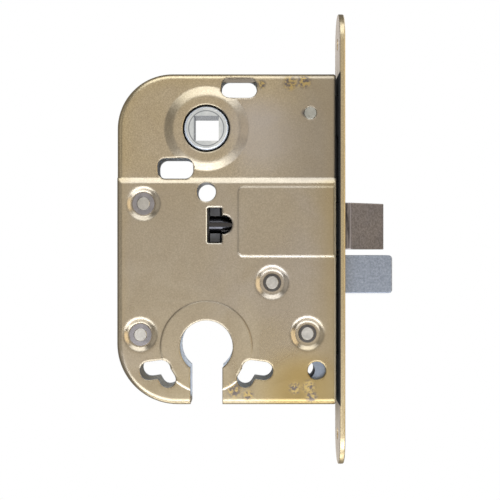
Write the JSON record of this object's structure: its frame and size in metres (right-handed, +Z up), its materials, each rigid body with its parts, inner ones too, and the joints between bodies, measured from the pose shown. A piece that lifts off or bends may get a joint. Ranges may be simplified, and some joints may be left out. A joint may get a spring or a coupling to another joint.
{
  "type": "mortise lock",
  "caption": "Mortise lock with a flat round-ended forend, pressed case, sprung bevelled latch, sliding deadbolt, square spindle follower and key cylinder opening.",
  "frame": {"origin": "centre of the forend's outer face, midway between the two fixing holes for the door", "axes": "+X out of the forend, the way the latch and bolt come out; +Z up along the forend; +Y through the case from the pressed shell to the flat back plate"},
  "size_m": [0.0999, 0.022, 0.165],
  "materials": {
    "chromated_steel": "yellow chromated zinc plate, satin",
    "forend_steel": "yellow chromated zinc plate, golden, satin",
    "bright_steel": "zinc plated",
    "cast_zinc": "die cast, matt",
    "rivet_steel": "zinc plated, smooth",
    "ring_steel": "dull",
    "inner_steel": "plain sheet steel",
    "black_nylon": "moulded",
    "hub_steel": "nickel plated, satin",
    "spring_steel": "bright wire",
    "sintered_steel": "sintered, dark",
    "dark_steel": "blackened",
    "bolt_zinc": "die cast, fine matt grain"
  },
  "bodies": {
    "case": {"case_shell": "chromated_steel", "back_plate": "chromated_steel", "forend": "forend_steel", "forend_screws": "bright_steel", "upper_mounting_block": "cast_zinc", "lower_mounting_block": "cast_zinc", "block_rivet": "rivet_steel", "wide_post_washers": "ring_steel", "small_post_rings": "ring_steel", "pivot_tube": "inner_steel", "follower_bush_front": "black_nylon", "follower_bush_back": "black_nylon", "plunger_spring": "spring_steel", "plunger_stop": "cast_zinc", "latch_guide": "inner_steel", "latch_spring": "spring_steel", "bolt_guide_pin": "rivet_steel", "detent_bracket": "cast_zinc", "detent_spring": "spring_steel", "rear_upper_post": "rivet_steel", "rear_lower_post": "rivet_steel", "bolt_guide_post": "rivet_steel", "front_lower_post": "rivet_steel"},
    "follower": {"follower_hub": "hub_steel"},
    "rocker": {"rocker": "inner_steel"},
    "latch": {"latch_head": "sintered_steel", "latch_rod": "dark_steel", "latch_crosspiece": "dark_steel", "latch_rod_pin": "rivet_steel"},
    "plunger": {"plunger": "inner_steel"},
    "deadbolt": {"bolt_head": "bolt_zinc", "bolt_tail": "inner_steel", "bolt_rivet": "rivet_steel"}
  },
  "joints": [
    {"name": "follower_turn", "type": "hinge", "parent": "case", "child": "follower", "pos_m": [-0.05, 0, 0.04], "axis": [0, -1, 0], "range_deg": [0, 40]},
    {"name": "rocker_swing", "type": "hinge", "parent": "case", "child": "rocker", "pos_m": [-0.05, 0, 0.017], "axis": [0, 1, 0], "range_deg": [0, 47.01]},
    {"name": "latch_slide", "type": "slide", "parent": "case", "child": "latch", "axis": [-1, 0, 0], "range_m": [0, 0.0155], "stiffness_N_per_m": 500, "springref_m": -0.006, "deforming": ["latch_spring"]},
    {"name": "plunger_slide", "type": "slide", "parent": "case", "child": "plunger", "axis": [-1, 0, 0], "range_m": [0, 0.0082], "deforming": ["plunger_spring"]},
    {"name": "deadbolt_throw", "type": "slide", "parent": "case", "child": "deadbolt", "axis": [1, 0, 0], "range_m": [-0.0175, 0], "deforming": ["detent_spring"]}
  ],
  "couplings": [
    {"joint": "follower_turn", "follows": "latch_slide", "rad_per_m": 45.041},
    {"joint": "rocker_swing", "follows": "latch_slide", "rad_per_m": 52.923},
    {"joint": "plunger_slide", "follows": "latch_slide", "ratio": 0.52903}
  ]
}
